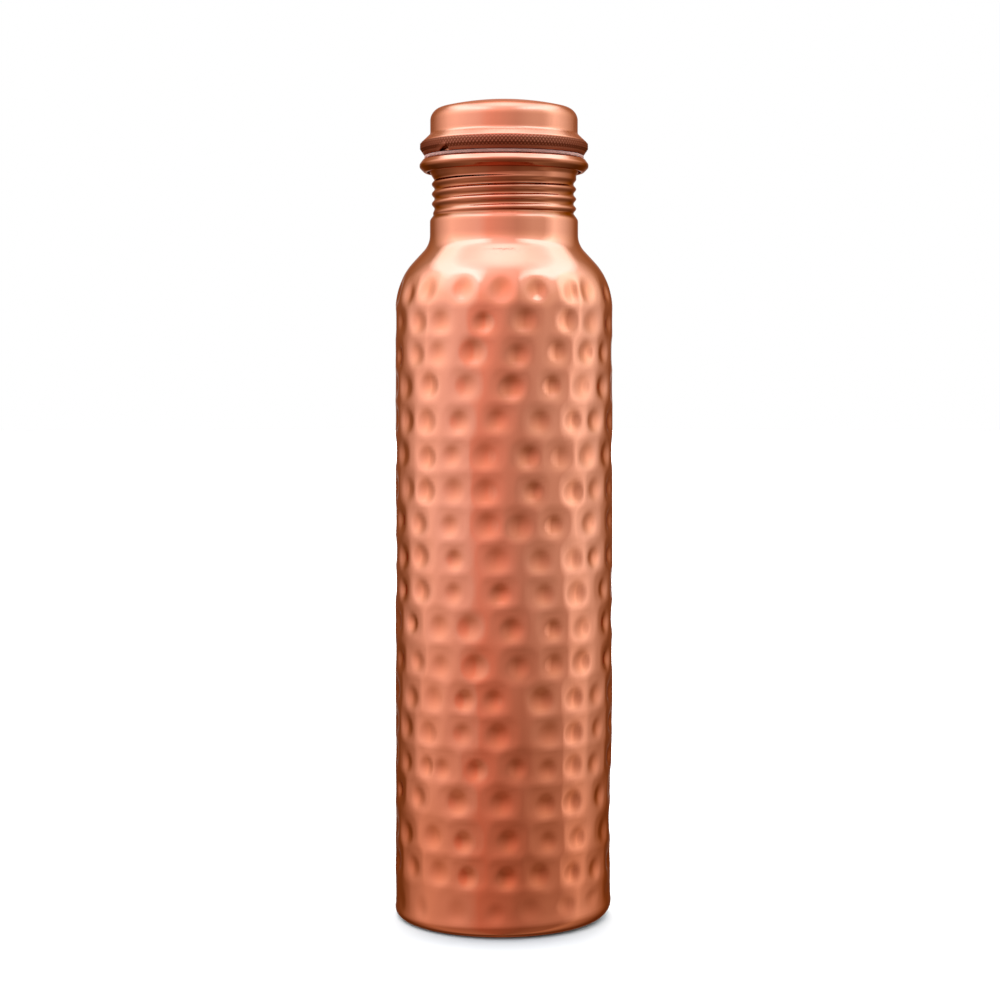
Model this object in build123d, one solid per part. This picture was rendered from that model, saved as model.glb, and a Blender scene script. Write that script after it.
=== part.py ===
from build123d import *
import os
from math import radians, tan

# Copper water bottle: a drawn copper body with a rolled screw neck, and a hollow screw cap.
# Millimetres. The origin is the middle of the standing ring, +Z is up.

# --- sheet and clearances -----------------------------------------------------
SHEET = 0.6  # body and cap sheet
PLUG_SHEET = 0.5  # sheet of the threaded cup under the cap
THREAD_GAP = 0.25  # radial play between the two threads
FACE_GAP = 0.1  # air left on each face of the uncompressed washer
COIL_OVERLAP = 0.3  # how deep a thread ridge is rooted in its tube
EASED = 0.3  # fillet where a sheet bends only a little

# --- body ---------------------------------------------------------------------
BODY_R = 36.5
BASE_CORNER = 4.5  # outer radius of the corner between wall and standing ring
RING_INNER_R = 27.0  # bore of the standing ring
SHOULDER_Z = 213.0  # where the wall line meets the shoulder line
SHOULDER_SLOPE = 47.0  # shoulder line, degrees from the axis
SHOULDER_FILLET = 23.0
NECK_R = 24.9
NECK_FILLET = 8.0
STEP_Z = 232.2  # top of the plain band, where the neck steps in to the thread
SEAM_SLOPE = 45.0  # slope of the step and of the lead-in above the thread
STEP_FILLET = 0.5

# --- neck thread and lip --------------------------------------------------------
PITCH = 3.3
THREAD_DEPTH = 0.7
NECK_CREST_R = 24.35  # outside of the rolled ridge
NECK_CREST_HALF = 0.65  # half of the ridge's flat crest, on the outside
NECK_COIL_Z = 234.9  # height of the ridge where it starts
NECK_TURNS = 4.0
COIL_ANGLE = 180.0  # both ridges start on the -X side
LEAD_IN_Z = 246.3  # where the thread's root line ends and the neck opens again
NECK_TOP_R = 24.4  # plain neck over the thread
RIM_Z = 253.2  # top of the curled lip
LIP_R = 28.4
LIP_FLAT_R = 26.8  # outer edge of the lip's flat top
LIP_FOLD_R = 26.4  # outer edge of the lip's flat underside
LIP_UNDERSIDE_Z = 248.6
NECK_END_Z = 250.0  # the neck's upright wall runs this far up into the lip
LIP_SLIT = 0.35  # gap between the curl's raw edge and the neck
LIP_FILLET = 1.0

# --- base disc ------------------------------------------------------------------
DISC_R = 31.8
DISC_FLAT_R = 26.4  # the disc is flat outside this radius, raised inside it
DISC_RISE = 2.0
DISC_OUTER_FILLET = 1.0  # at the disc's bends that bulge, on the sheet's outside
DISC_INNER_FILLET = 0.4

# --- washer -----------------------------------------------------------------------
WASHER_T = 1.2
WASHER_R = 26.8
WASHER_EDGE = 0.2

# --- cap ----------------------------------------------------------------------------
CAP_TOP = 272.7
CAP_R = 24.8
CAP_CROWN = 3.0  # fall of the domed top from its middle to the wall line
CAP_SHOULDER = 4.0
FLARE_R = 27.3  # outer edge of the flare that sits on the grip ring
FLARE_CORNER_Z = 261.9  # where the wall line meets the flare
FLARE_FILLET = 2.0

# --- grip ring ----------------------------------------------------------------------
RING_R = 28.3
RING_BORE_R = 25.2
RING_FOOT_R = 26.8  # outer edge of the ring's flat underside
RING_NOSE_RISE = 2.0  # height over the underside where the side turns upright
RING_NOSE_FILLET = 1.1
RING_LIP_GAP = 0.05  # between the flare's edge and the ring's lip round it
RING_LIP_FILLET = 0.15
NICK_ANGLE = 222.0  # place of the ring's butt joint, degrees from +X
NICK_WIDTH = 2.6
NICK_DEPTH = 0.8
NICK_HEIGHT = 1.3
NICK_RISE = 1.2  # middle of the nick over the ring's underside
NICK_TILT = -30.0

# --- plug ----------------------------------------------------------------------------
PLUG_BOTTOM_Z = 235.8
PLUG_CORNER = 1.2
PLUG_TURNS = 2.0
PLUG_COIL_TURN = 1.0  # the plug's ridge starts this many turns above the neck's
PLUG_LEAD_Z = 248.5  # where the plug's root line ends and its plain neck begins
PLUG_RIM_RISE = 5.0
PLUG_SEAT_CORNER = 0.6  # outer radius where the plug's step turns up into its rim


def corner_shift(depth, slope):
    """How far a corner between an upright and a slanted line moves down, that depth in."""
    return depth * tan(radians(slope / 2))


# --- heights that follow ---------------------------------------------------------------
WASHER_Z = RIM_Z + FACE_GAP
CAP_SEAT_Z = WASHER_Z + WASHER_T + FACE_GAP
PLUG_CREST_R = NECK_CREST_R - SHEET - THREAD_GAP
PLUG_RIM_Z = CAP_SEAT_Z + PLUG_RIM_RISE
FLARE_FOOT_Z = FLARE_CORNER_Z - corner_shift(SHEET, SEAM_SLOPE) - (FLARE_R - CAP_R + SHEET)


def spin(points, radii):
    """Solid of revolution of a closed outline of (radius, height) points."""
    outline = [(r, 0, z) for r, z in points]
    return revolve(make_face(FilletPolyline(*outline, radius=radii, close=True)), Axis.Z)


def tube(radius, bottom, top):
    """Plain cylinder on the axis between two heights."""
    return Pos(0, 0, bottom) * Cylinder(
        radius, top - bottom, align=(Align.CENTER, Align.CENTER, Align.MIN)
    )


def body_skin(depth, bottom):
    """Solid inside the body's skin, the given depth in from the outside, up to the lead-in."""
    lean = corner_shift(depth, SHOULDER_SLOPE)
    dip = corner_shift(depth, SEAM_SLOPE)
    neck_z = SHOULDER_Z + (BODY_R - NECK_R) / tan(radians(SHOULDER_SLOPE))
    root_r = NECK_CREST_R - THREAD_DEPTH - depth
    top_r = NECK_TOP_R - depth
    step = NECK_R - depth - root_r
    lead_z = LEAD_IN_Z + dip
    points = [
        (0, bottom),
        (BODY_R - depth, bottom),
        (BODY_R - depth, SHOULDER_Z - lean),
        (NECK_R - depth, neck_z - lean),
        (NECK_R - depth, STEP_Z - dip),
        (root_r, STEP_Z + step - dip),
        (root_r, lead_z),
        (top_r, lead_z + top_r - root_r),
        (top_r, NECK_END_Z),
        (0, NECK_END_Z),
    ]
    radii = [0, BASE_CORNER - depth, SHOULDER_FILLET - depth, NECK_FILLET + depth]
    radii += [STEP_FILLET, EASED, EASED, EASED, 0, 0]
    return spin(points, radii)


def coil(root_r, crest_half, start_z, turns, start_angle):
    """Helical ridge with 45 degree flanks, rooted in a tube of radius root_r."""
    crest_r = root_r + THREAD_DEPTH
    base_half = crest_half + THREAD_DEPTH
    profile = Polyline(
        (root_r - COIL_OVERLAP, 0, -base_half),
        (root_r, 0, -base_half),
        (crest_r, 0, -crest_half),
        (crest_r, 0, crest_half),
        (root_r, 0, base_half),
        (root_r - COIL_OVERLAP, 0, base_half),
        close=True,
    )
    path = Helix(PITCH, PITCH * turns, root_r)
    ridge = sweep(make_face(profile), path=path, is_frenet=True)
    return Pos(0, 0, start_z) * Rot(0, 0, start_angle) * ridge


def lip_section():
    """Half section of the curled lip: sheet turned out, down and back under to a raw edge."""
    inner_r = NECK_TOP_R - SHEET
    nose_top_z = RIM_Z - (LIP_R - LIP_FLAT_R)
    nose_foot_z = LIP_UNDERSIDE_Z + LIP_R - LIP_FOLD_R
    outline = FilletPolyline(
        (inner_r, 0, LIP_UNDERSIDE_Z),
        (inner_r, 0, RIM_Z),
        (LIP_FLAT_R, 0, RIM_Z),
        (LIP_R, 0, nose_top_z),
        (LIP_R, 0, nose_foot_z),
        (LIP_FOLD_R, 0, LIP_UNDERSIDE_Z),
        radius=[0] + 5 * [LIP_FILLET],
        close=True,
    )
    fold = make_face(outline)
    hollow = offset(fold, amount=-SHEET)
    slit_r = NECK_TOP_R + LIP_SLIT / 2
    slit = Pos(slit_r, 0, LIP_UNDERSIDE_Z) * Rot(90, 0, 0) * Rectangle(LIP_SLIT, 2 * SHEET)
    return fold - hollow - slit


def body_shell():
    """Drawn body: standing ring, wall, shoulder, neck with rolled thread, curled lip."""
    crest_half = NECK_CREST_HALF
    inner_half = crest_half - corner_shift(SHEET, SEAM_SLOPE)
    root_r = NECK_CREST_R - THREAD_DEPTH
    outside = body_skin(0, 0)
    outside += coil(root_r, crest_half, NECK_COIL_Z, NECK_TURNS, COIL_ANGLE)
    inside = body_skin(SHEET, SHEET)
    inside += coil(root_r - SHEET, inner_half, NECK_COIL_Z, NECK_TURNS, COIL_ANGLE)
    inside += tube(RING_INNER_R, -1, SHEET + 1)
    return outside - inside + revolve(lip_section(), Axis.Z)


def base_plate():
    """Bottom disc, soldered on the standing ring's inner face and raised in the middle."""
    under = SHEET
    over = 2 * SHEET
    lean = corner_shift(SHEET, SEAM_SLOPE)
    raised_r = DISC_FLAT_R - DISC_RISE
    points = [
        (0, under + DISC_RISE),
        (raised_r, under + DISC_RISE),
        (DISC_FLAT_R, under),
        (DISC_R, under),
        (DISC_R, over),
        (DISC_FLAT_R + lean, over),
        (raised_r + lean, over + DISC_RISE),
        (0, over + DISC_RISE),
    ]
    bend = [DISC_OUTER_FILLET, DISC_INNER_FILLET]
    return spin(points, [0, *bend, 0, 0, *bend, 0])


def gasket():
    """Silicone washer, loose round the plug, between the lip and the cap."""
    bore_r = PLUG_CREST_R + THREAD_GAP
    washer = tube(WASHER_R, WASHER_Z, WASHER_Z + WASHER_T)
    washer -= tube(bore_r, WASHER_Z, WASHER_Z + WASHER_T)
    return fillet(washer.edges().filter_by(GeomType.CIRCLE), WASHER_EDGE)


def cap_skin(depth, bottom):
    """Solid inside the cap's skin: domed top, upright wall, flare at 45 degrees."""
    wall_r = CAP_R - depth
    top_z = CAP_TOP - depth
    corner_z = FLARE_CORNER_Z - corner_shift(depth, SEAM_SLOPE)
    flare_z = corner_z - (FLARE_R - wall_r)
    crown = TangentArc((0, 0, top_z), (wall_r, 0, top_z - CAP_CROWN), tangent=(1, 0, 0))
    side = Polyline(
        (wall_r, 0, top_z - CAP_CROWN),
        (wall_r, 0, corner_z),
        (FLARE_R, 0, flare_z),
        (FLARE_R, 0, bottom),
        (0, 0, bottom),
        (0, 0, top_z),
    )
    section = make_face(crown + side)
    shoulder = section.vertices().sort_by_distance((wall_r, 0, top_z - CAP_CROWN))[0]
    section = fillet(shoulder, CAP_SHOULDER - depth)
    corner = section.vertices().sort_by_distance((wall_r, 0, corner_z))[0]
    section = fillet(corner, FLARE_FILLET + depth)
    return revolve(section, Axis.Z)


def cap_shell():
    """Spun top of the cap, its flare resting on the grip ring's bevel."""
    return cap_skin(0, FLARE_FOOT_Z) - cap_skin(SHEET, FLARE_FOOT_Z - 1)


def knurled_ring():
    """Grip ring: bevelled seat for the flare with a lip round it, bulging side, flat foot,
    and the nick at its butt joint."""
    lip_r = FLARE_R + RING_LIP_GAP
    points = [
        (RING_BORE_R, CAP_SEAT_Z),
        (RING_FOOT_R, CAP_SEAT_Z),
        (RING_R, CAP_SEAT_Z + RING_NOSE_RISE),
        (RING_R, FLARE_CORNER_Z - (RING_R - CAP_R)),
        (lip_r, FLARE_CORNER_Z - (lip_r - CAP_R)),
        (lip_r, FLARE_FOOT_Z - RING_LIP_GAP),
        (RING_BORE_R, FLARE_FOOT_Z + FLARE_R - RING_BORE_R),
    ]
    nose = 2 * [RING_NOSE_FILLET]
    ring = spin(points, [0, EASED, *nose, RING_LIP_FILLET, 0, 0])
    nick = Box(2 * NICK_DEPTH, NICK_WIDTH, NICK_HEIGHT)
    nick = Pos(RING_R, 0, CAP_SEAT_Z + NICK_RISE) * Rot(NICK_TILT, 0, 0) * nick
    return ring - Rot(0, 0, NICK_ANGLE) * nick


def plug_skin(depth, top):
    """Solid inside the plug's skin: cup, root cylinder, plain neck and stepped rim."""
    crest_r = PLUG_CREST_R - depth
    root_r = crest_r - THREAD_DEPTH
    lead_z = PLUG_LEAD_Z + corner_shift(depth, SEAM_SLOPE)
    points = [
        (0, PLUG_BOTTOM_Z + depth),
        (root_r, PLUG_BOTTOM_Z + depth),
        (root_r, lead_z),
        (crest_r, lead_z + THREAD_DEPTH),
        (crest_r, CAP_SEAT_Z + depth),
        (RING_BORE_R - depth, CAP_SEAT_Z + depth),
        (RING_BORE_R - depth, top),
        (0, top),
    ]
    seat_corner = PLUG_SEAT_CORNER - depth
    return spin(points, [0, PLUG_CORNER - depth, EASED, EASED, 0, seat_corner, 0, 0])


def cap_plug():
    """Pressed cup under the cap with the rolled male thread, its rim fixed in the ring."""
    outer_half = NECK_CREST_HALF - corner_shift(SHEET + THREAD_GAP, SEAM_SLOPE)
    inner_half = outer_half - corner_shift(PLUG_SHEET, SEAM_SLOPE)
    root_r = PLUG_CREST_R - THREAD_DEPTH
    coil_z = NECK_COIL_Z + PITCH * PLUG_COIL_TURN
    outside = plug_skin(0, PLUG_RIM_Z)
    outside += coil(root_r, outer_half, coil_z, PLUG_TURNS, COIL_ANGLE)
    inside = plug_skin(PLUG_SHEET, PLUG_RIM_Z + 1)
    inside += coil(root_r - PLUG_SHEET, inner_half, coil_z, PLUG_TURNS, COIL_ANGLE)
    return outside - inside


PIECES = {
    "body_shell": body_shell,
    "base_plate": base_plate,
    "gasket": gasket,
    "knurled_ring": knurled_ring,
    "cap_shell": cap_shell,
    "cap_plug": cap_plug,
}

os.makedirs("parts", exist_ok=True)
for name, build in PIECES.items():
    export_step(build(), f"parts/{name}.step")
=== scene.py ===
from math import acos, pi, radians, sin, tan

import bpy
import numpy as np
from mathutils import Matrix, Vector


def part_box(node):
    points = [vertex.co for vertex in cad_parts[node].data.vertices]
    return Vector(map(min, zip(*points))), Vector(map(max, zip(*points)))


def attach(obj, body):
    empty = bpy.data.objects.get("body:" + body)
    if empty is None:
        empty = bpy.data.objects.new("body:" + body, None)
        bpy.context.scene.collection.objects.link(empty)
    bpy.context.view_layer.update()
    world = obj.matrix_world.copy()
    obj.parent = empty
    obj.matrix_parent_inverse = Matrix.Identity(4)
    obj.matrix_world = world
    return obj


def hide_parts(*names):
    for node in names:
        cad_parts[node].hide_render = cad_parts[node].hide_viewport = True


# Copper water bottle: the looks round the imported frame. Outlines are in millimetres from the
# middle of the standing ring, as (radius, height); lathe() turns them into the frame's metres.
# Azimuths are degrees from the front of the bottle (-Y), + towards +X.
MM = 0.001
SEED = 11

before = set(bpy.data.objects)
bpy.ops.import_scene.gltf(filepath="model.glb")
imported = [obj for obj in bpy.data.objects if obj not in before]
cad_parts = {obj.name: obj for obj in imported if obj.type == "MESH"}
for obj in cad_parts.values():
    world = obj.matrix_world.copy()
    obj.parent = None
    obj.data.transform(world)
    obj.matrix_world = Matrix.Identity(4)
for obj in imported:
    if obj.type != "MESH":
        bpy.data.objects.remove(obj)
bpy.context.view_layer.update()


def top_of(node):
    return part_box(node)[1].z / MM


def foot_of(node):
    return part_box(node)[0].z / MM


def reach_of(node):
    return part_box(node)[1].x / MM


# --- body -----------------------------------------------------------------------------------
SHEET = 0.6
BODY_R = reach_of("body_shell")
RIM_Z = top_of("body_shell")
CORNER_R = 4.5  # mean radius of the base corner
CORNER_SWING = 0.35  # the corner is this share tighter on the -X side and fuller on +X
RING_INNER_R = 27.0
TAPER = 0.4  # mean draw-in of the lower wall, twice this on the +X side and none on -X
SHOULDER_Z = 212.1  # where the wall line meets the shoulder line
SHOULDER_FILLET = 23.0
NECK_R = 24.9
NECK_Z = 224.7
NECK_FILLET = 8.0
STEP_Z = 232.8
STEP_TOP_Z = 234.0
VALLEY_R = 24.05  # where the step meets the thread
BODY_COLUMNS = 232

# --- thread ---------------------------------------------------------------------------------
PITCH = 3.3
COIL_Z = 234.95  # height of the first crest on the -X side
THREAD_DEPTH = 0.9
THREAD_ROOT_R = 23.4
THREAD_TOP_Z = 246.3  # the neck flares out to the lip from here
THREAD_PLAY = 0.3
CREST_POWER = 1.15  # over 1 the crests are narrower than the roots
THREAD_RAMP = 0.25  # turns over which the first ridge rises
LAST_TURN = 3.0  # past this turn the groove over the ridge runs out into the flare
THREAD_FADE = 0.4  # turns over which it runs out
PLUG_TURNS = (0.9, 3.3)  # where the plug's ridge starts and ends
PLUG_RAMP = 0.3

# --- lip ------------------------------------------------------------------------------------
LIP_R = 28.4
LIP_BORE_R = 24.4
FLARE_TOP = (25.1, 249.0)  # where the neck goes up behind the curl

# --- cap ------------------------------------------------------------------------------------
CAP_TOP = top_of("cap_shell") + 0.4
CAP_R = 24.8
CAP_CROWN = 3.5
CAP_SHOULDER = 3.8
FLARE_R = reach_of("cap_shell")
FLARE_CORNER_Z = 261.7
FLARE_FOOT_Z = foot_of("cap_shell")
CAP_COLUMNS = 192
RING_R = reach_of("knurled_ring")
RING_BORE_R = 25.2
RING_FOOT_R = 26.8
RING_NOSE_TOP_Z = 258.4
RING_LIP_R = 27.35  # the ring's lip round the cap's flare
SEAT_Z = foot_of("knurled_ring")
PLUG_SHEET = 0.5
PLUG_FOOT_Z = foot_of("cap_plug")
PLUG_RIM_Z = top_of("cap_plug")
PLUG_NECK_R = 23.45
PLUG_COLUMNS = 216

# --- knurl ----------------------------------------------------------------------------------
KNURL_COUNT = 140
KNURL_STEPS = 7  # mesh columns in one diamond
KNURL_PITCH = 2 * pi * RING_R / KNURL_COUNT
KNURL_TALL = 1.3  # height of a diamond over its width
KNURL_DEPTH = 0.2
KNURL_LOW_Z = 255.4
NICK_AZIMUTH = -47.5

# --- hammer marks -----------------------------------------------------------------------------
MARK_SPACING = 20  # degrees between the marks on the far side
# Height of each row of marks, and the azimuths of the marks that face the front.
MARK_ROWS = [
    (208.7, [-60, -45, -23, -2, 17, 38, 51, 73]),
    (198.8, [-71, -50, -35, -10, 11, 34, 52, 73]),
    (188.4, [-75, -51, -37, -15, 7, 29, 48, 66]),
    (177.7, [-63, -43, -20, 3, 26, 45, 64]),
    (166.5, [-62, -44, -24, -3, 19, 39, 55, 75]),
    (155.3, [-67, -43, -27, -9, 12, 30, 49, 68]),
    (144.1, [-61, -44, -26, -9, 15, 38, 55, 75]),
    (133.2, [-71, -50, -28, -8, 8, 27, 50, 75]),
    (122.0, [-67, -48, -27, -4, 19, 39, 55, 75]),
    (111.2, [-67, -47, -26, -2, 20, 41, 64]),
    (100.0, [-56, -35, -18, 3, 26, 45, 68]),
    (88.1, [-52, -35, -14, 8, 27, 44, 70]),
    (76.9, [-57, -40, -21, -6, 20, 40, 56]),
    (66.1, [-61, -43, -21, -3, 24, 39, 58]),
    (55.2, [-62, -44, -33, -14, 7, 23, 39, 56]),
    (44.0, [-51, -25, -2, 22, 39, 63]),
    (31.7, [-62, -39, -21, 2, 23, 42, 67]),
    (20.9, [-56, -36, -19, 2, 18, 39, 58]),
    (9.6, [-49, -25, -4, 14, 33, 55]),
]
ROW_FADE = 0.4  # share of the depth that the lowest row keeps
# Sizes that change evenly down the wall: at the top row, and what the lowest row has more.
LEAN = (0.05, 0.15)
FACET_WIDE = (5.8, 0.9)
FACET_TALL = (5.5, 0.4)
FACET_POWER = (2.8, 0.3)  # 2 is an ellipse, more is squarer
BOWL_REACH = (4.1, -0.3)
BOWL_DROP = (0.6, 0.6)  # how far the bowl sits below the middle of its facet
BOWL_DEPTH = (0.64, -0.13)
WIDE_SWING = (0.07, 0.06)
TALL_SWING = (0.07, 0.05)
# The same in every row.
FACET_DEPTH = 0.36
PIT_DEPTH = 0.12
PIT_ACROSS = 0.8
PIT_UP = 1.9
# The material paints the full shade of a mark's hollow at this depth.
MARK_DEEP = 1.05  # depth at which the material counts a mark as full
WAVE_DEPTH = 0.05
WAVE_COUNT = 6


# --- outlines ---------------------------------------------------------------------------------
def corner_arc(before, here, after, fillet, step):
    """Points round a filleted corner of an outline."""
    back = (before - here) / np.linalg.norm(before - here)
    ahead = (after - here) / np.linalg.norm(after - here)
    half = acos(np.clip(back @ ahead, -1, 1)) / 2
    middle = (back + ahead) / np.linalg.norm(back + ahead)
    centre = here + middle * fillet / sin(half)
    start = here + back * fillet / tan(half) - centre
    end = here + ahead * fillet / tan(half) - centre
    turn = pi - 2 * half
    count = max(3, int(np.ceil(fillet * turn / step)) + 1)
    share = np.linspace(0, 1, count)[:, None]
    return centre + (np.sin((1 - share) * turn) * start + np.sin(share * turn) * end) / sin(turn)


def outline(corners):
    """Sample an outline. A corner is (radius, height, fillet, step): step is the spacing of the
    samples on the way to this corner and round it."""
    stops = [np.array(c[:2], float) for c in corners]
    points = [stops[0]]
    for i in range(1, len(corners)):
        fillet, step = corners[i][2:]
        arc = [stops[i]]
        if fillet > 0:
            arc = corner_arc(stops[i - 1], stops[i], stops[i + 1], fillet, step)
        run = arc[0] - points[-1]
        count = max(1, int(round(np.linalg.norm(run) / step)))
        start = points[-1]
        points += [start + run * k / count for k in range(1, count)]
        points += list(arc)
    return np.array(points)


def spread(path, columns):
    """An outline as radius and height arrays, one column for each step round the axis."""
    radius = np.repeat(path[:, :1], columns, axis=1)
    height = np.repeat(path[:, 1:], columns, axis=1)
    return radius, height


def angles(columns):
    return np.arange(columns)[None, :] * 2 * pi / columns


def from_azimuth(turn, azimuth):
    """Angle in radians from a place given by its azimuth, between -pi and pi."""
    return (turn - radians(azimuth - 90) + pi) % (2 * pi) - pi


def smooth_step(low, high, value):
    share = np.clip((value - low) / (high - low), 0, 1)
    return share * share * (3 - 2 * share)


# --- meshes -----------------------------------------------------------------------------------
def lathe(name, radius, height, closed, ride, node, slot, material, layers=None):
    """Mesh of a turned piece from its grid of radii and heights. A closed outline ends where it
    starts; an open one starts and ends on the axis. layers are named values from 0 to 1 at each
    point that the material reads."""
    rows, columns = radius.shape
    turn = angles(columns)
    grid = np.stack([radius * np.cos(turn), radius * np.sin(turn), height], axis=2) * MM
    index = np.arange(rows * columns).reshape(rows, columns)
    if not closed:
        index[0, :] = index[0, 0]
        index[-1, :] = index[-1, 0]
    lower = index if closed else index[:-1]
    upper = np.roll(index, -1, axis=0) if closed else index[1:]
    quads = np.stack(
        [lower, np.roll(lower, -1, axis=1), np.roll(upper, -1, axis=1), upper], axis=2
    ).reshape(-1, 4)
    faces = [list(dict.fromkeys(q)) for q in quads.tolist()]
    used, compact = np.unique(np.concatenate(faces), return_inverse=True)
    ends = np.cumsum([len(f) for f in faces])[:-1]
    mesh = bpy.data.meshes.new(name)
    mesh.from_pydata(grid.reshape(-1, 3)[used], [], [f.tolist() for f in np.split(compact, ends)])
    for title, values in (layers or {}).items():
        layer = mesh.attributes.new(title, "FLOAT", "POINT")
        layer.data.foreach_set("value", values.reshape(-1)[used].astype(np.float32))
    mesh.shade_smooth()
    mesh.materials.append(material)
    piece = bpy.data.objects.new(name, mesh)
    bpy.context.scene.collection.objects.link(piece)
    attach(piece, ride)
    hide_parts(node)
    print(name, "faces", sum(len(f) - 2 for f in faces))
    return piece


# --- body ---------------------------------------------------------------------------------------
def all_round(front):
    """The azimuths of a whole row, from those that face the front."""
    gap = 360 - (front[-1] - front[0])
    count = round(gap / MARK_SPACING)
    return front + [front[-1] + gap * k / count for k in range(1, count)]


def down_wall(size, down):
    """A size that changes evenly from the top row (down = 0) to the lowest (down = 1)."""
    top, more = size
    return top + more * down


def hammer(turn, height):
    """Depth in millimetres of the hammer marks at each angle and height. A mark is a squarish
    facet with a rounder bowl in it and a small pit in the bowl."""
    chance = np.random.default_rng(SEED)
    facets = np.zeros(np.broadcast(turn, height).shape)
    bowls = np.zeros_like(facets)
    last = len(MARK_ROWS) - 1
    for row, (row_z, front) in enumerate(MARK_ROWS):
        down = row / last
        fade = ROW_FADE if row == last else 1
        power = down_wall(FACET_POWER, down)
        for azimuth in all_round(front):
            jitter = chance.uniform(-1, 1, 8)
            over = from_azimuth(turn, azimuth) * BODY_R
            up = height - row_z - 0.4 * jitter[0]
            lean = down_wall(LEAN, down) * jitter[7]
            across = over + lean * up
            along = up - lean * over
            wide = down_wall(FACET_WIDE, down) * (1 + down_wall(WIDE_SWING, down) * jitter[1])
            tall = down_wall(FACET_TALL, down) * (1 + down_wall(TALL_SWING, down) * jitter[2])
            reach = (np.abs(across / wide) ** power + np.abs(along / tall) ** power) ** (1 / power)
            facet = FACET_DEPTH * fade * np.clip(1 - reach ** 2, 0, None) ** 0.8
            facets = np.maximum(facets, facet)
            size = down_wall(BOWL_REACH, down) * (1 + 0.12 * jitter[3])
            side = across - 0.6 * jitter[4]
            drop = along + down_wall(BOWL_DROP, down) + 0.4 * jitter[5]
            deep = down_wall(BOWL_DEPTH, down) * (1 + 0.3 * jitter[6]) * fade
            bowl = deep * np.clip(1 - (side / size) ** 2 - (drop / size) ** 2, 0, None) ** 1.05
            pit = PIT_DEPTH * fade * np.exp(-((side / PIT_ACROSS) ** 2) - (drop / PIT_UP) ** 2)
            bowls = np.maximum(bowls, bowl + pit)
    wave = np.zeros_like(facets)
    for _ in range(WAVE_COUNT):
        around = chance.integers(2, 9)
        up = chance.uniform(20, 90)
        shift = chance.uniform(0, 2 * pi)
        wave += np.sin(around * turn + height * 2 * pi / up + shift) / WAVE_COUNT
    return facets + bowls + WAVE_DEPTH * (1 + wave)


def helix(turn, height):
    """Endless right-handed ridge that starts on the -X side: its height from 0 to 1, and how many
    turns up from its start the nearest crest and the crest below are."""
    from_start = (turn / (2 * pi)) % 1 - 0.5
    turns_up = (height - COIL_Z) / PITCH - from_start
    crest = np.round(turns_up)
    wave = (0.5 + 0.5 * np.cos(2 * pi * (turns_up - crest))) ** CREST_POWER
    return wave, crest + from_start, np.floor(turns_up) + from_start


def thread(turn, height):
    """Height from 0 to 1 of the ridge rolled in the neck."""
    wave, nearest, under = helix(turn, height)
    wave = wave * smooth_step(-THREAD_RAMP, THREAD_RAMP, nearest)
    return np.maximum(wave, smooth_step(LAST_TURN, LAST_TURN + THREAD_FADE, under))


def add_thread(radius, height, root):
    """Radii of a neck's skin with the ridge rolled into it."""
    inside = (height > STEP_TOP_Z - 0.4) & (height < FLARE_TOP[1]) & (radius < FLARE_TOP[0])
    ridge = root + THREAD_DEPTH * thread(angles(radius.shape[1]), height)
    return np.where(inside, np.maximum(radius, ridge), radius)


def base_corner(radius, height):
    """Tighter base corner on the -X side, fuller on the +X side."""
    swing = CORNER_SWING * np.cos(angles(radius.shape[1]))
    near_floor = 1 - smooth_step(CORNER_R, 3 * CORNER_R, height)
    near_wall = smooth_step(RING_INNER_R, BODY_R - CORNER_R, radius)
    inwards = (BODY_R - radius) * (1 + swing * near_floor * near_wall)
    return BODY_R - inwards, height * (1 + swing * near_floor)


def body_skin(path, root):
    """One skin of the body, with its marks, taper and thread."""
    radius, height = spread(path, BODY_COLUMNS)
    turn = angles(BODY_COLUMNS)
    marks = hammer(turn, height) * smooth_step(2.5, 8, height)
    marks *= 1 - smooth_step(212.5, 215.5, height)
    taper = TAPER * (1 + np.cos(turn)) * (1 - smooth_step(30, 75, height))
    taper = taper * smooth_step(0, 6, height)
    radius, height = base_corner(radius, height)
    return add_thread(radius - marks - taper, height, root), height


def painted_groove_shade(turn, radius, height):
    """Painted shade: how dark the metal is painted in the thread's valleys, in the step under them
    and behind the lip, where shade falls.
    """
    valley = 1 - thread(turn, height)
    # Painted shade: the upper turns of the thread and the neck under the lip are darkened as if
    # shaded by the lip.
    shaded = 0.7 * smooth_step(237, 247, height) + 0.2 * smooth_step(247.5, 249, height)
    reach = smooth_step(STEP_Z - 0.2, STEP_TOP_Z, height) * (1 - smooth_step(250.9, 251.6, height))
    return np.where(radius < 26, np.maximum(valley, shaded), shaded) * reach


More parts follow.
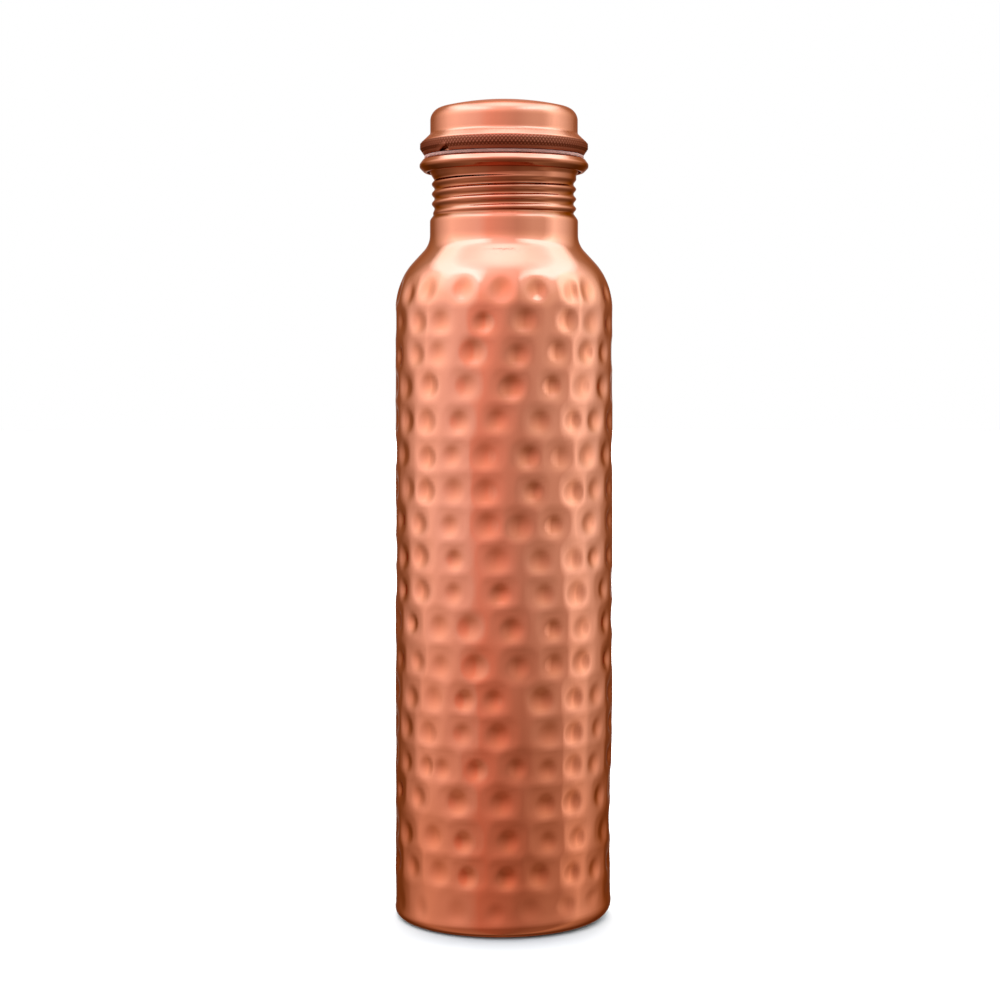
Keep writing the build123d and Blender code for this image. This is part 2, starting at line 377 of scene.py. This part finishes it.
def body_shell(material):
    outer = outline([
        (RING_INNER_R, 0, 0, 1),
        (BODY_R, 0, CORNER_R, 1.0),
        (BODY_R, SHOULDER_Z, SHOULDER_FILLET, 1.15),
        (NECK_R, NECK_Z, NECK_FILLET, 0.9),
        (NECK_R, STEP_Z, 1.6, 0.8),
        (VALLEY_R, STEP_TOP_Z, 0.4, 0.4),
        (THREAD_ROOT_R, STEP_TOP_Z + 0.9, 0.4, 0.4),
        (THREAD_ROOT_R, THREAD_TOP_Z, 1.5, 0.36),
        (*FLARE_TOP, 0, 0.4),
    ])
    lip = outline([
        (*FLARE_TOP, 0, 1),
        (25.3, RIM_Z - SHEET, 0.5, 0.8),
        (26.9, RIM_Z - SHEET, 0.4, 0.5),
        (27.8, 251.35, 0.4, 0.5),
        (27.8, 250.85, 0.3, 0.3),
        (26.15, 249.2, 0.3, 0.5),
        (25.9, 249.3, 0, 0.3),
        (25.9, 248.8, 0, 0.3),
        (26.8, 248.8, 0.9, 0.3),
        (LIP_R, 250.4, 1.1, 0.3),
        (LIP_R, 251.5, 0.9, 0.2),
        (27.2, RIM_Z, 0.7, 0.25),
        (LIP_BORE_R, RIM_Z, 0.5, 0.5),
        (LIP_BORE_R, 249.6, 0, 0.8),
    ])[1:]
    inner = outline([
        (LIP_BORE_R, 249.6, 0, 1),
        (THREAD_ROOT_R - SHEET, THREAD_TOP_Z + 0.5, 1.0, 0.6),
        (THREAD_ROOT_R - SHEET, STEP_TOP_Z - 0.3, 0.5, 0.7),
        (NECK_R - SHEET, STEP_Z - 0.3, 0.8, 0.8),
        (NECK_R - SHEET, NECK_Z - 0.24, NECK_FILLET + SHEET, 2),
        (BODY_R - SHEET, SHOULDER_Z - 0.24, SHOULDER_FILLET - SHEET, 3),
        (BODY_R - SHEET, SHEET, CORNER_R - SHEET, 4.5),
        (RING_INNER_R, SHEET, 0, 3),
    ])[1:]
    parts = [
        body_skin(outer, THREAD_ROOT_R),
        spread(lip, BODY_COLUMNS),
        body_skin(inner, THREAD_ROOT_R - SHEET),
    ]
    radius, height = (np.concatenate(p) for p in zip(*parts))
    turn = angles(BODY_COLUMNS)
    # mark sets where the material paints shade in the hollows of the hammer marks.
    mark = np.clip(hammer(turn, height) / MARK_DEEP, 0, 1)
    return lathe("hammered_body", radius, height, True, "bottle", "body_shell", "body_copper",
                 material, {"mark": mark, "groove": painted_groove_shade(turn, radius, height)})


def base_plate(material):
    path = outline([
        (0, 2.6, 0, 1),
        (24.4, 2.6, 1.0, 3),
        (26.4, SHEET, 0.4, 0.5),
        (31.8, SHEET, 0, 2),
        (31.8, 2 * SHEET, 0, 0.6),
        (26.65, 2 * SHEET, 1.0, 2),
        (24.65, 3.2, 0.4, 0.5),
        (0, 3.2, 0, 3),
    ])
    return lathe("base_disc", *spread(path, CAP_COLUMNS), False, "bottle", "base_plate",
                 "body_copper", material)


# --- washer and cap -------------------------------------------------------------------------------
def gasket(material):
    low, high = foot_of("gasket"), top_of("gasket")
    bore = PLUG_NECK_R + THREAD_PLAY
    reach = reach_of("gasket")
    path = outline([
        (bore, (low + high) / 2, 0, 1),
        (bore, low, 0.2, 0.3),
        (reach, low, 0.35, 0.4),
        (reach, high, 0.35, 0.3),
        (bore, high, 0.2, 0.4),
        (bore, (low + high) / 2 + 0.1, 0, 0.3),
    ])
    return lathe("silicone_washer", *spread(path, CAP_COLUMNS), True, "washer", "gasket",
                 "silicone", material)


def cap_shell(material):
    corner_in = FLARE_CORNER_Z - 0.25
    path = outline([
        (0, CAP_TOP - SHEET, 0, 1),
        (CAP_R - SHEET, CAP_TOP - CAP_CROWN - SHEET, CAP_SHOULDER - SHEET, 2),
        (CAP_R - SHEET, corner_in, 2.6, 1),
        (FLARE_R - 0.05, FLARE_FOOT_Z + 0.05, 0.1, 0.6),
        (FLARE_R, FLARE_FOOT_Z + 0.75, 0.3, 0.2),
        (CAP_R, FLARE_CORNER_Z, 1.3, 0.35),
        (CAP_R, CAP_TOP - CAP_CROWN, CAP_SHOULDER, 0.5),
        (0, CAP_TOP, 0, 0.8),
    ])
    radius, height = spread(path, CAP_COLUMNS)
    share = np.clip(radius / CAP_R, 0, 1)
    dome = CAP_CROWN * share * (1 - share)
    height = height + np.where(height > CAP_TOP - CAP_CROWN - CAP_SHOULDER, dome, 0)
    return lathe("cap_dome", radius, height, False, "cap", "cap_shell", "cap_copper", material)


def cap_plug(material):
    root = THREAD_ROOT_R - SHEET - THREAD_PLAY
    under = root - PLUG_SHEET
    neck_under = PLUG_NECK_R - PLUG_SHEET
    path = outline([
        (0, PLUG_FOOT_Z, 0, 1),
        (root, PLUG_FOOT_Z, 1.2, 1.5),
        (root, 248.3, 0.5, 0.33),
        (PLUG_NECK_R, 249.2, 0.5, 0.4),
        (PLUG_NECK_R, SEAT_Z, 0.2, 0.8),
        (RING_BORE_R, SEAT_Z, 0.3, 0.6),
        (RING_BORE_R, PLUG_RIM_Z, 0.1, 1),
        (RING_BORE_R - PLUG_SHEET, PLUG_RIM_Z, 0.1, 0.4),
        (RING_BORE_R - PLUG_SHEET, SEAT_Z + PLUG_SHEET, 0.2, 1),
        (neck_under, SEAT_Z + PLUG_SHEET, 0.2, 0.6),
        (neck_under, 249.4, 0.5, 1),
        (under, 248.5, 0.5, 0.5),
        (under, PLUG_FOOT_Z + PLUG_SHEET, 0.7, 0.6),
        (0, PLUG_FOOT_Z + PLUG_SHEET, 0, 3),
    ])
    radius, height = spread(path, PLUG_COLUMNS)
    wave, place, _ = helix(angles(PLUG_COLUMNS), height)
    first, last = PLUG_TURNS
    wave = wave * smooth_step(first, first + PLUG_RAMP, place)
    wave = wave * (1 - smooth_step(last - PLUG_RAMP, last, place))
    skin = np.where(radius > root - PLUG_SHEET / 2, root, under)
    wall = (height > PLUG_FOOT_Z + 0.8) & (height < 249) & (radius > 20)
    radius = np.where(wall, np.maximum(radius, skin + THREAD_DEPTH * wave), radius)
    return lathe("screw_plug", radius, height, False, "cap", "cap_plug", "cap_copper", material)


def triangle(value):
    """Triangle wave: 0 at whole numbers, 1 halfway between."""
    return 1 - np.abs(2 * (value % 1) - 1)


def joint_nick(turn, height):
    """Where the ring's ends meet: a three-sided gap low on the ring, and the bevel over it."""
    across = from_azimuth(turn, NICK_AZIMUTH) * RING_R
    edge = 0.15 + (across + 2.4) * 0.3
    over = height - SEAT_Z - edge
    inside = smooth_step(-2.7, -2.2, across) * (1 - smooth_step(2.2, 2.6, across))
    gap = inside * (1 - smooth_step(-0.15, 0.15, over))
    bevel = (1 - np.clip(np.abs(over - 0.8) / 0.8, 0, 1)) * smooth_step(-4, -2.6, across)
    return gap, bevel * (1 - smooth_step(1.6, 2.6, across))


def knurled_ring(material):
    fine = 0.19
    path = outline([
        (RING_BORE_R, SEAT_Z, 0, 1),
        (RING_FOOT_R, SEAT_Z, 0.3, 0.4),
        (RING_R, SEAT_Z + 2.0, 1.15, fine),
        (RING_R, RING_NOSE_TOP_Z, 1.1, fine),
        (RING_LIP_R, RING_NOSE_TOP_Z + RING_R - RING_LIP_R, 0.15, fine),
        (RING_LIP_R, FLARE_FOOT_Z - 0.05, 0, 0.3),
        (RING_BORE_R, FLARE_FOOT_Z + FLARE_R - RING_BORE_R, 0, 0.7),
    ])
    columns = KNURL_COUNT * KNURL_STEPS
    radius, height = spread(path, columns)
    along = np.gradient(path, axis=0)
    along /= np.linalg.norm(along, axis=1)[:, None]
    length = np.cumsum(np.r_[0, np.linalg.norm(np.diff(path, axis=0), axis=1)])[:, None]
    turn = angles(columns)
    slant = turn * KNURL_COUNT / (2 * pi)
    rise = length / (KNURL_PITCH * KNURL_TALL)
    diamond = np.minimum(triangle(slant + rise), triangle(slant - rise))
    zone = smooth_step(KNURL_LOW_Z - 0.4, KNURL_LOW_Z + 0.4, height)
    zone = zone * smooth_step(RING_LIP_R - 0.3, RING_LIP_R, radius)
    gap, bevel = joint_nick(turn, height)
    cut = KNURL_DEPTH * zone * (1 - diamond) * (1 - gap) * (1 - bevel)
    depth = cut + gap * 0.7 + bevel * 0.2
    radius = radius - depth * along[:, 1:]
    height = height + depth * along[:, :1]
    # Painted shade in the knurl's grooves and in the joint's gap, by the mark layer.
    mark = np.clip(zone * (1 - diamond) * (1 - bevel) + gap, 0, 1)
    return lathe("grip_ring", radius, height, True, "cap", "knurled_ring", "ring_copper",
                 material, {"mark": mark})


# --- materials ------------------------------------------------------------------------------------
def grey(level):
    return (level, level, level)


def tree_of(name):
    material = bpy.data.materials.new(name)
    material.use_nodes = True
    nodes = material.node_tree.nodes
    return material, nodes, material.node_tree.links, nodes["Principled BSDF"]


def noise(nodes, links, coordinates, stretch, scale, detail):
    """Noise texture in the piece's own metres, stretched along the axes."""
    mapping = nodes.new("ShaderNodeMapping")
    mapping.inputs["Scale"].default_value = stretch
    links.new(coordinates, mapping.inputs["Vector"])
    texture = nodes.new("ShaderNodeTexNoise")
    texture.inputs["Scale"].default_value = scale
    texture.inputs["Detail"].default_value = detail
    links.new(mapping.outputs["Vector"], texture.inputs["Vector"])
    return texture.outputs["Fac"]


def ramp(nodes, links, value, stops):
    """Colour ramp over a value; each stop is (place, colour)."""
    node = nodes.new("ShaderNodeValToRGB")
    elements = node.color_ramp.elements
    for k, (place, colour) in enumerate(stops):
        element = elements[k] if k < 2 else elements.new(place)
        element.position = place
        element.color = (*colour, 1)
    links.new(value, node.inputs["Fac"])
    return node.outputs["Color"]


def blend(nodes, links, share, first, second, how="MIX"):
    """Mix of two colours, each a socket or a plain colour."""
    node = nodes.new("ShaderNodeMix")
    node.data_type = "RGBA"
    node.blend_type = how
    for name, value in (("Factor", share), ("A", first), ("B", second)):
        if isinstance(value, (int, float)):
            node.inputs[name].default_value = value
        elif isinstance(value, tuple):
            node.inputs[name].default_value = (*value, 1)
        else:
            links.new(value, node.inputs[name])
    return node.outputs["Result"]


# Painted shade in the thread's valleys, the step under them and behind the lip.
GROOVE_SHADE = (0.40, 0.13, 0.06)  # in the thread's valleys
EDGE_TINT = (0.80, 0.42, 0.28)  # of the metal seen at a slant
BRIGHT_COPPER = (0.93, 0.41, 0.27)
DEEP_COPPER = (0.90, 0.37, 0.23)
# Painted shade towards the bottle's foot: it sets in under the first height and is full at the
# second.
FOOT_SHADE_FROM = 0.13  # height in metres under which the foot's tint sets in
FOOT_SHADE_TO = 0.02


def copper(name, bright, deep, cut, rough, brush, foot_shade_tint=None):
    """Satin copper: bright metal with deeper patches, painted shade in the hollows (the cut colour)
    and in the thread's grooves, and painted shade towards the bottle's foot."""
    material, nodes, links, shader = tree_of(name)
    place = nodes.new("ShaderNodeTexCoord").outputs["Object"]
    patches = noise(nodes, links, place, (1, 1, 0.6), 38, 4)
    metal = ramp(nodes, links, patches, [(0.35, bright), (0.72, deep)])
    # Painted shade in the hollows of the hammer marks and the knurl: the mark layer mixes in the
    # cut colour.
    mark = nodes.new("ShaderNodeAttribute")
    mark.attribute_name = "mark"
    painted_hollow_shade = ramp(nodes, links, mark.outputs["Fac"], [(0.2, grey(0)), (1.0, grey(1))])
    metal = blend(nodes, links, painted_hollow_shade, metal, cut)
    # Painted shade in the thread's valleys and behind the lip, from the body's groove layer.
    groove = nodes.new("ShaderNodeAttribute")
    groove.attribute_name = "groove"
    metal = blend(nodes, links, groove.outputs["Fac"], metal, GROOVE_SHADE)
    # Painted shade towards the foot.
    if foot_shade_tint:
        split = nodes.new("ShaderNodeSeparateXYZ")
        links.new(place, split.inputs[0])
        foot_shade = nodes.new("ShaderNodeMapRange")
        foot_shade.inputs["From Min"].default_value = FOOT_SHADE_FROM
        foot_shade.inputs["From Max"].default_value = FOOT_SHADE_TO
        links.new(split.outputs["Z"], foot_shade.inputs["Value"])
        metal = blend(nodes, links, foot_shade.outputs["Result"], metal,
                      blend(nodes, links, 1.0, metal, foot_shade_tint, "MULTIPLY"))
    links.new(metal, shader.inputs["Base Color"])
    shader.inputs["Metallic"].default_value = 1.0
    shader.inputs["Specular Tint"].default_value = (*EDGE_TINT, 1)
    grain = noise(nodes, links, place, brush, 900, 3)
    low, high = rough
    links.new(ramp(nodes, links, grain, [(0.3, grey(low)), (0.7, grey(high))]),
              shader.inputs["Roughness"])
    bump = nodes.new("ShaderNodeBump")
    bump.inputs["Strength"].default_value = 0.05
    bump.inputs["Distance"].default_value = 0.0002
    links.new(grain, bump.inputs["Height"])
    links.new(bump.outputs["Normal"], shader.inputs["Normal"])
    return material


def silicone():
    material, nodes, links, shader = tree_of("silicone")
    place = nodes.new("ShaderNodeTexCoord").outputs["Object"]
    dust = noise(nodes, links, place, (1, 1, 1), 420, 3)
    tint = ramp(nodes, links, dust, [(0.3, (0.38, 0.18, 0.15)), (0.7, (0.46, 0.22, 0.18))])
    links.new(tint, shader.inputs["Base Color"])
    shader.inputs["Roughness"].default_value = 0.5
    shader.inputs["Subsurface Weight"].default_value = 0.15
    shader.inputs["Subsurface Radius"].default_value = (0.002, 0.001, 0.001)
    shader.inputs["Subsurface Scale"].default_value = 1.0
    return material


# --- studio ---------------------------------------------------------------------------------------
CAMERA_DISTANCE = 0.745
CAMERA_HEIGHT = 0.1825
CAMERA_LENS = 79.73
CAMERA_SHIFT = (-0.004, -0.13)
STUDIO_STRENGTH = 3.0
FLOOR_RADIUS = 6
FLOOR_TINT = (0.80, 0.79, 0.77)
MATT_LIGHT = [(0.42, grey(0.45)), (0.58, grey(5.0))]  # on matt surfaces, front to back

# Tones of the room round the bottle.
BEHIND = (0.55, 0.45, 0.40)
CORNER = (0.30, 0.25, 0.20)
LEFT_WINDOW = (1.05, 0.95, 0.95)
PALE_WALL = (0.85, 0.70, 0.70)
WARM_WALL = (0.80, 0.50, 0.45)
DIM_WALL = (0.55, 0.40, 0.35)
HAZE = (0.65, 0.55, 0.50)
RIGHT_WINDOW = (1.10, 1.10, 1.10)
GROUND = (0.50, 0.40, 0.30)
LOW_SKY = (1.30, 1.40, 1.40)
HIGH_SKY = (2.10, 2.50, 3.00)

# The room near the horizon, by azimuth: a broad window on the left, a wall in front that dims
# to the right, a narrow window on the right, and dark corners behind.
SIDES = [
    (-180, BEHIND),
    (-160, CORNER),
    (-140, CORNER),
    (-90, LEFT_WINDOW),
    (-40, PALE_WALL),
    (-25, WARM_WALL),
    (20, DIM_WALL),
    (45, HAZE),
    (65, HAZE),
    (85, RIGHT_WINDOW),
    (145, CORNER),
    (160, CORNER),
    (180, BEHIND),
]
# What the room is multiplied by at each elevation, and the ceiling that takes over from it.
LEVELS = [(-30, GROUND), (0, grey(1)), (20, LOW_SKY), (60, HIGH_SKY)]
CEILING = [(60, (1.30, 1.10, 1.20)), (90, (2.40, 2.00, 2.40))]
CEILING_FROM = [(0.82, grey(0)), (0.96, grey(1))]  # by the sine of the elevation

# A window high on each side: where it sets in, across and up, and its light.
WINDOW_ACROSS = [(0.22, grey(0)), (0.48, grey(1))]
WINDOW_UP = [(0.60, grey(0)), (0.70, grey(1))]
WINDOW_LIGHT = (1.60, 2.25, 2.85)


def height_stops(levels):
    """Ramp stops over the sine of the elevation, scaled to 0..1."""
    return [(sin(radians(at)) / 2 + 0.5, tuple(c / STUDIO_STRENGTH for c in colour))
            for at, colour in levels]


def maths(nodes, links, operation, first, second):
    node = nodes.new("ShaderNodeMath")
    node.operation = operation
    for socket, value in zip(node.inputs, (first, second)):
        if isinstance(value, (int, float)):
            socket.default_value = value
        else:
            links.new(value, socket)
    return node.outputs[0]


def studio_light():
    """World: white to the camera, a white light mostly from behind to matt surfaces, and a soft
    room with windows to the metal."""
    world = bpy.data.worlds.new("studio")
    bpy.context.scene.world = world
    world.use_nodes = True
    nodes = world.node_tree.nodes
    links = world.node_tree.links
    nodes.clear()
    way = nodes.new("ShaderNodeSeparateXYZ")
    links.new(nodes.new("ShaderNodeTexCoord").outputs["Generated"], way.inputs[0])
    x, y, z = way.outputs
    azimuth = maths(nodes, links, "ARCTAN2", x, maths(nodes, links, "MULTIPLY", y, -1.0))
    turn = maths(nodes, links, "MULTIPLY_ADD", azimuth, 1 / (2 * pi))
    turn.node.inputs[2].default_value = 0.5
    sides = ramp(nodes, links, turn, [(at / 360 + 0.5, colour) for at, colour in SIDES])
    rise = maths(nodes, links, "MULTIPLY_ADD", z, 0.5)
    rise.node.inputs[2].default_value = 0.5
    level = ramp(nodes, links, rise, height_stops(LEVELS))
    over = ramp(nodes, links, rise, height_stops(CEILING))
    near = blend(nodes, links, 1.0, sides, level, "MULTIPLY")
    take_over = ramp(nodes, links, z, CEILING_FROM)
    soft = nodes.new("ShaderNodeBackground")
    soft.inputs["Strength"].default_value = STUDIO_STRENGTH
    flank = ramp(nodes, links, maths(nodes, links, "ABSOLUTE", x, 0), WINDOW_ACROSS)
    band = maths(nodes, links, "MULTIPLY", flank, ramp(nodes, links, z, WINDOW_UP))
    near = blend(nodes, links, band, near, tuple(c / STUDIO_STRENGTH for c in WINDOW_LIGHT))
    links.new(blend(nodes, links, take_over, near, over), soft.inputs["Color"])
    rays = nodes.new("ShaderNodeLightPath")
    seen = soft.outputs[0]
    ahead = maths(nodes, links, "MULTIPLY_ADD", y, 0.5)
    ahead.node.inputs[2].default_value = 0.5
    matt = ramp(nodes, links, ahead, MATT_LIGHT)
    for kind, strength in (("Diffuse Depth", 0), ("Is Diffuse Ray", matt), ("Is Camera Ray", 1)):
        white = nodes.new("ShaderNodeBackground")
        white.inputs["Color"].default_value = (1, 1, 1, 1)
        if strength is matt:
            links.new(matt, white.inputs["Strength"])
        else:
            white.inputs["Strength"].default_value = strength
        choose = nodes.new("ShaderNodeMixShader")
        links.new(rays.outputs[kind], choose.inputs[0])
        links.new(seen, choose.inputs[1])
        links.new(white.outputs[0], choose.inputs[2])
        seen = choose.outputs[0]
    links.new(seen, nodes.new("ShaderNodeOutputWorld").inputs[0])


def floor():
    bpy.ops.mesh.primitive_circle_add(vertices=96, radius=FLOOR_RADIUS, fill_type="NGON")
    piece = bpy.context.object
    piece.name = "floor"
    material, nodes, links, shader = tree_of("floor")
    shader.inputs["Base Color"].default_value = (*FLOOR_TINT, 1)
    shader.inputs["Roughness"].default_value = 0.9
    shader.inputs["Specular IOR Level"].default_value = 0.0
    piece.data.materials.append(material)
    piece.visible_glossy = False


def camera():
    data = bpy.data.cameras.new("camera")
    data.lens = CAMERA_LENS
    data.sensor_width = 36
    data.shift_x, data.shift_y = CAMERA_SHIFT
    eye = bpy.data.objects.new("camera", data)
    eye.location = (0, -CAMERA_DISTANCE, CAMERA_HEIGHT)
    eye.rotation_euler = (pi / 2, 0, 0)
    bpy.context.scene.collection.objects.link(eye)
    bpy.context.scene.camera = eye


# The colour after the deep copper is painted shade in each piece's hollows; the body's last colour
# is painted shade towards its foot.
body_copper = copper("body_copper", BRIGHT_COPPER, DEEP_COPPER, (0.88, 0.33, 0.19),
                     (0.05, 0.11), (1, 1, 0.08), (0.84, 0.66, 0.54))
cap_copper = copper("cap_copper", BRIGHT_COPPER, DEEP_COPPER, (0.6, 0.2, 0.1),
                    (0.18, 0.27), (1, 1, 0.2))
# The ring's near-black hollow colour is painted shade in the knurl's grooves and in the joint's
# gap.
ring_copper = copper("ring_copper", (0.50, 0.19, 0.12), (0.40, 0.13, 0.08), (0.13, 0.03, 0.012),
                     (0.34, 0.46), (1, 1, 1))
body_shell(body_copper)
base_plate(body_copper)
gasket(silicone())
cap_shell(cap_copper)
cap_plug(cap_copper)
knurled_ring(ring_copper)
floor()
studio_light()
camera()
bpy.context.scene.view_settings.view_transform = "Standard"
